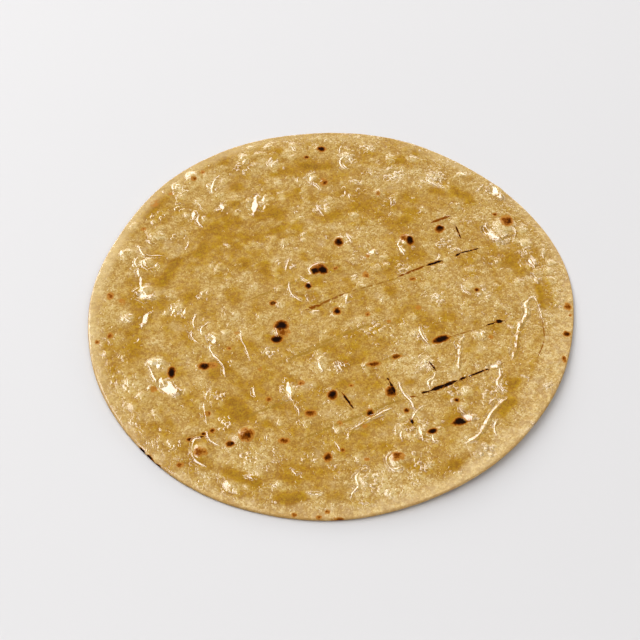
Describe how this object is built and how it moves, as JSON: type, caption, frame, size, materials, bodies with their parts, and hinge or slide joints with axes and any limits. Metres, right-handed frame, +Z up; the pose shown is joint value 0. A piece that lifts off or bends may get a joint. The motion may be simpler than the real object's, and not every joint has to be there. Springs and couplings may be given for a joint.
{
  "type": "roti",
  "caption": "Round thin flatbread lying flat, with low blisters on its upper face, a thinner edge that lifts in places, and a flat under face.",
  "frame": {"origin": "on the surface that the bread rests on, under the middle of its outline's box", "axes": "+X to the right and +Y to the back, as seen by someone in front of it; +Z up through the blistered face"},
  "size_m": [0.1888, 0.1958, 0.004],
  "materials": {
    "roti_crust": null
  },
  "bodies": {
    "root": {"roti": "roti_crust"}
  },
  "joints": []
}
